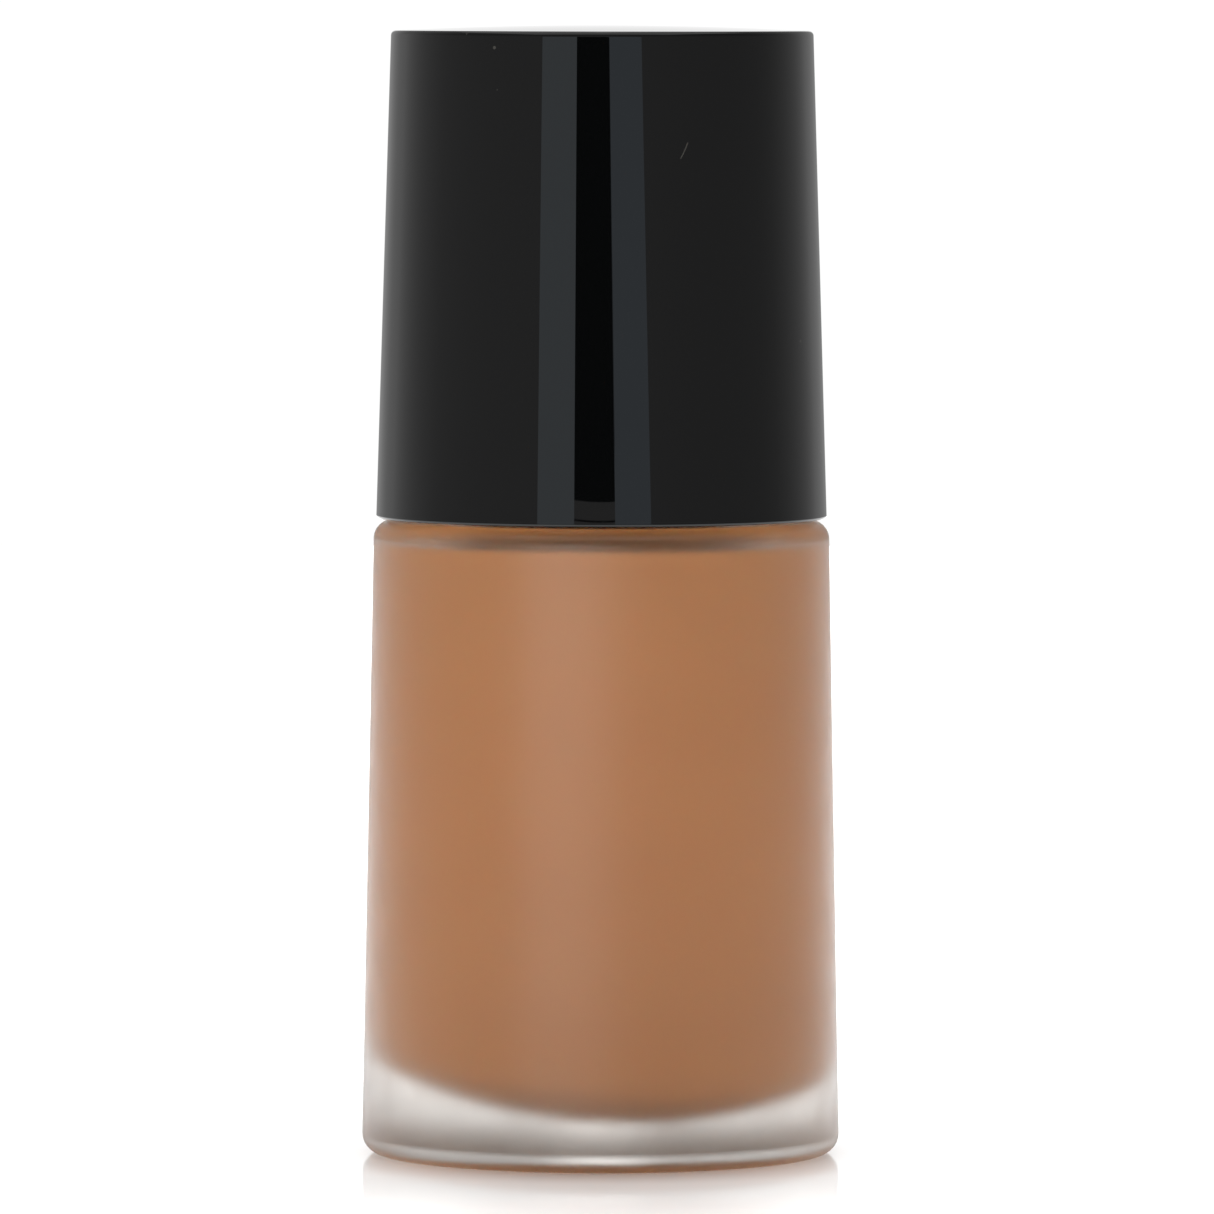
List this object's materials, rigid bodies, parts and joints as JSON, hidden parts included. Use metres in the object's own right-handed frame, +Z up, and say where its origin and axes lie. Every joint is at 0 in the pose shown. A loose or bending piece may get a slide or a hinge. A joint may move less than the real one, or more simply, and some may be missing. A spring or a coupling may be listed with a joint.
{
  "type": "foundation bottle",
  "caption": "Round frosted glass bottle for liquid foundation, with a threaded neck, a screw-on treatment pump and a tall pull-off overcap.",
  "frame": {"origin": "centre of the bottle's base, in the plane it stands on", "axes": "+Z up along the bottle's axis; the pump's spout points along -Y at rest"},
  "size_m": [0.041, 0.041, 0.0967],
  "materials": {
    "frosted_glass": "etched outside, polished inside",
    "foundation": "opaque beige liquid, smooth",
    "label": "blank pale film label, satin",
    "seal": "soft foam and elastomer, matte",
    "natural_plastic": "natural moulded polypropylene, satin",
    "spring_steel": "bright drawn wire",
    "satin_black": "moulded satin black",
    "gloss_black": "polished piano black"
  },
  "bodies": {
    "bottle": {"glass_bottle": "frosted_glass", "foundation_fill": "foundation", "base_label": "label"},
    "pump": {"neck_gasket": "seal", "pump_housing": "satin_black", "pump_turret": "natural_plastic", "stem_gasket": "seal", "dip_tube": "natural_plastic", "ball_retainer": "natural_plastic", "return_spring": "spring_steel"},
    "collar": {"screw_ring": "satin_black", "collar_shell": "gloss_black"},
    "cap": {"overcap_liner": "satin_black", "overcap_shell": "gloss_black"},
    "stem": {"pump_stem": "natural_plastic", "stem_plug": "natural_plastic"},
    "piston": {"piston_seal": "natural_plastic"},
    "actuator": {"actuator_core": "satin_black", "actuator_button": "gloss_black"},
    "ball": {"check_ball": "spring_steel"}
  },
  "joints": [
    {"name": "pump_lift", "type": "slide", "parent": "bottle", "child": "pump", "axis": [0, 0, 1], "range_m": [0, 0.00481]},
    {"name": "collar_turn", "type": "hinge", "parent": "pump", "child": "collar", "pos_m": [0, 0, 0.0625], "axis": [0, 0, 1], "range_deg": [0, 540]},
    {"name": "cap_lift", "type": "slide", "parent": "collar", "child": "cap", "axis": [0, 0, 1], "range_m": [0, 0.045]},
    {"name": "actuator_press", "type": "slide", "parent": "pump", "child": "stem", "axis": [0, 0, -1], "range_m": [0, 0.004], "stiffness_N_per_m": 800, "springref_m": -0.004, "deforming": ["return_spring"]},
    {"name": "piston_valve", "type": "slide", "parent": "stem", "child": "piston", "axis": [0, 0, 1], "range_m": [0, 0.0008]},
    {"name": "actuator_swivel", "type": "hinge", "parent": "stem", "child": "actuator", "pos_m": [0, 0, 0.08], "axis": [0, 0, 1], "continuous": true},
    {"name": "inlet_ball_lift", "type": "slide", "parent": "pump", "child": "ball", "axis": [0, 0, 1], "range_m": [0, 0.0009]}
  ],
  "couplings": [
    {"joint": "pump_lift", "follows": "collar_turn", "m_per_rad": 0.0005093}
  ]
}
